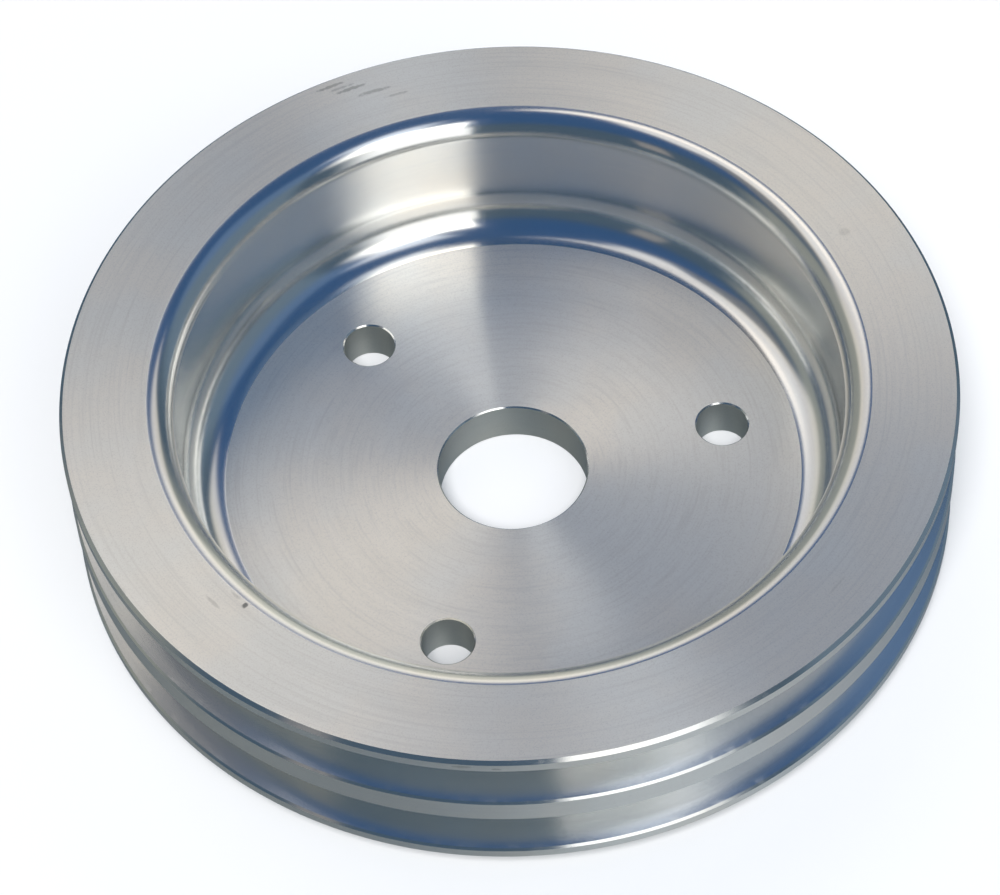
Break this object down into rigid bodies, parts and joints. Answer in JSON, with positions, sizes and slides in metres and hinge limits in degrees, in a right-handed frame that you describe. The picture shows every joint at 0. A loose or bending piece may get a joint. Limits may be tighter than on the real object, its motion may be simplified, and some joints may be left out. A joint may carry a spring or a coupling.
{
  "type": "v-belt crankshaft pulley",
  "caption": "Cupped aluminium crankshaft pulley with V-belt grooves round the rim, a rounded cup lip, and a flat web with a centre bore and bolt holes.",
  "frame": {"origin": "on the pulley's axis, at the back face of the hub boss, the face that bolts against the crankshaft damper", "axes": "+Z along the axis of rotation, out of the open cup, away from the engine; +X through the centre of one bolt hole"},
  "size_m": [0.165, 0.165, 0.0365],
  "materials": {
    "machined_aluminium": "turned, with a satin face and polished cup, lip and groove flanks"
  },
  "bodies": {
    "root": {"crankshaft_pulley": "machined_aluminium"}
  },
  "joints": []
}
